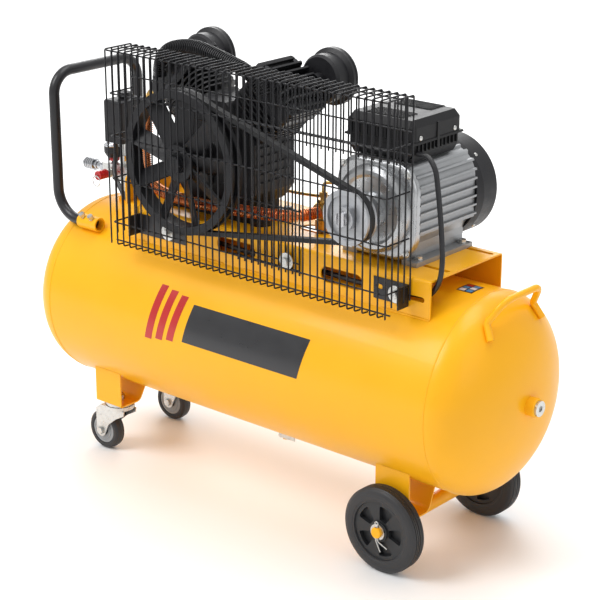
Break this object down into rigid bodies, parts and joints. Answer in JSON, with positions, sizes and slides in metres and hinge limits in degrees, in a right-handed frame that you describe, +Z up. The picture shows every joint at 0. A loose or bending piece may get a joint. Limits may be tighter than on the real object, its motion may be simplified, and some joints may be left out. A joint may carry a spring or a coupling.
{
  "type": "twin stack compressor",
  "caption": "Belt-driven air compressor: finned V pump and electric motor behind a wire belt guard on a yellow horizontal receiver with wheels, casters and a push handle.",
  "frame": {"origin": "bottom centre of the machine's bounding box, on the floor", "axes": "+X along the receiver towards the big wheels, +Y away from the belt guard, +Z up"},
  "size_m": [1.091, 0.356, 0.8421],
  "materials": {
    "yellow_paint": "gloss",
    "black_paint": "satin",
    "black_wire": "satin",
    "cast_iron_black": "satin",
    "cast_grey": "satin",
    "polished": "polished",
    "motor_grey": "satin",
    "steel": "machined",
    "zinc": "zinc plated",
    "chrome": "plated",
    "brass": "machined",
    "copper": "satin",
    "black_plastic": "matte",
    "grey_plastic": "satin",
    "red_plastic": "gloss",
    "hub_plastic": "satin",
    "tyre": "matte",
    "belt_rubber": "matte",
    "windings": "laminated",
    "pvc": "satin",
    "dial": "gloss"
  },
  "bodies": {
    "machine": {"tank_shell": "yellow_paint", "tank_heads": "yellow_paint", "welded_bosses": "yellow_paint", "drain_valve": "brass", "platform": "yellow_paint", "caster_brackets": "yellow_paint", "wheel_brackets": "yellow_paint", "push_handle": "black_paint", "grab_handle": "yellow_paint", "frame_bolts": "zinc", "wheel_axle": "yellow_paint", "axle_retainers": "zinc", "caster_stems": "zinc", "motor_housing": "motor_grey", "motor_end_shields": "polished", "fan_cowl": "black_plastic", "terminal_box": "grey_plastic", "terminal_box_cover": "grey_plastic", "capacitors": "black_plastic", "motor_cable": "pvc", "motor_stator": "windings", "drive_belt": "belt_rubber", "crankcase": "cast_iron_black", "crankcase_covers": "cast_iron_black", "cylinders": "cast_iron_black", "valve_plates": "steel", "pump_heads": "cast_iron_black", "pistons": "cast_grey", "intake_filters": "black_plastic", "pump_bolts": "zinc", "intercooler_tube": "black_paint", "discharge_tube": "copper", "brass_fittings": "brass", "unloader_tube": "brass", "air_manifold": "zinc", "pressure_switch": "black_plastic", "gauge_body": "black_plastic", "coupler_body": "chrome", "safety_valve": "red_plastic", "guard_cage": "black_wire", "guard_brackets": "black_paint"},
    "crank": {"crankshaft": "cast_iron_black", "flywheel": "cast_iron_black"},
    "rods": {"connecting_rods": "cast_grey"},
    "rotor": {"motor_rotor": "steel", "cooling_fan": "black_plastic", "motor_pulley": "cast_grey"},
    "wheel_front": {"wheel_tyre_front": "tyre", "wheel_hub_front": "hub_plastic"},
    "wheel_rear": {"wheel_tyre_rear": "tyre", "wheel_hub_rear": "hub_plastic"},
    "fork_front": {"caster_fork_front": "zinc"},
    "fork_rear": {"caster_fork_rear": "zinc"},
    "roller_front": {"caster_wheel_front": "tyre"},
    "roller_rear": {"caster_wheel_rear": "tyre"},
    "knob": {"switch_knob": "red_plastic"},
    "needle": {"gauge_needle": "red_plastic"},
    "sleeve": {"coupler_sleeve": "chrome"},
    "pull_ring": {"safety_ring": "zinc"},
    "drain_handle": {"drain_lever": "zinc"}
  },
  "joints": [
    {"name": "crank_spin", "type": "hinge", "parent": "machine", "child": "crank", "pos_m": [-0.128, -0.1, 0.64], "axis": [0, 1, 0], "continuous": true},
    {"name": "rods_follow", "type": "hinge", "parent": "crank", "child": "rods", "pos_m": [-0.128, 0, 0.659], "axis": [0, 1, 0], "continuous": true},
    {"name": "motor_spin", "type": "hinge", "parent": "machine", "child": "rotor", "pos_m": [0.251, 0, 0.614], "axis": [0, 1, 0], "continuous": true},
    {"name": "wheel_front_spin", "type": "hinge", "parent": "machine", "child": "wheel_front", "pos_m": [0.336, -0.1445, 0.0775], "axis": [0, 1, 0], "continuous": true},
    {"name": "wheel_rear_spin", "type": "hinge", "parent": "machine", "child": "wheel_rear", "pos_m": [0.336, 0.1445, 0.0775], "axis": [0, 1, 0], "continuous": true},
    {"name": "caster_front_swivel", "type": "hinge", "parent": "machine", "child": "fork_front", "pos_m": [-0.36, -0.094, 0.1], "axis": [0, 0, 1], "continuous": true},
    {"name": "caster_front_roll", "type": "hinge", "parent": "fork_front", "child": "roller_front", "pos_m": [-0.398, -0.094, 0.04], "axis": [0, 1, 0], "continuous": true},
    {"name": "caster_rear_swivel", "type": "hinge", "parent": "machine", "child": "fork_rear", "pos_m": [-0.36, 0.094, 0.1], "axis": [0, 0, 1], "continuous": true},
    {"name": "caster_rear_roll", "type": "hinge", "parent": "fork_rear", "child": "roller_rear", "pos_m": [-0.398, 0.094, 0.04], "axis": [0, 1, 0], "continuous": true},
    {"name": "switch_pull", "type": "slide", "parent": "machine", "child": "knob", "axis": [0, 0, 1], "range_m": [0, 0.006]},
    {"name": "gauge_turn", "type": "hinge", "parent": "machine", "child": "needle", "pos_m": [-0.45, 0, 0.59], "axis": [0, 0, -1], "range_deg": [0, 270]},
    {"name": "sleeve_pull", "type": "slide", "parent": "machine", "child": "sleeve", "axis": [1, 0, 0], "range_m": [0, 0.005], "stiffness_N_per_m": 800},
    {"name": "ring_pull", "type": "slide", "parent": "machine", "child": "pull_ring", "axis": [0, -1, 0], "range_m": [0, 0.004], "stiffness_N_per_m": 1500},
    {"name": "drain_turn", "type": "hinge", "parent": "machine", "child": "drain_handle", "pos_m": [-0.01, -0.015, 0.109], "axis": [0, 1, 0], "range_deg": [0, 90]}
  ],
  "couplings": [
    {"joint": "motor_spin", "follows": "crank_spin", "ratio": 2.8623},
    {"joint": "rods_follow", "follows": "crank_spin", "ratio": -1}
  ]
}
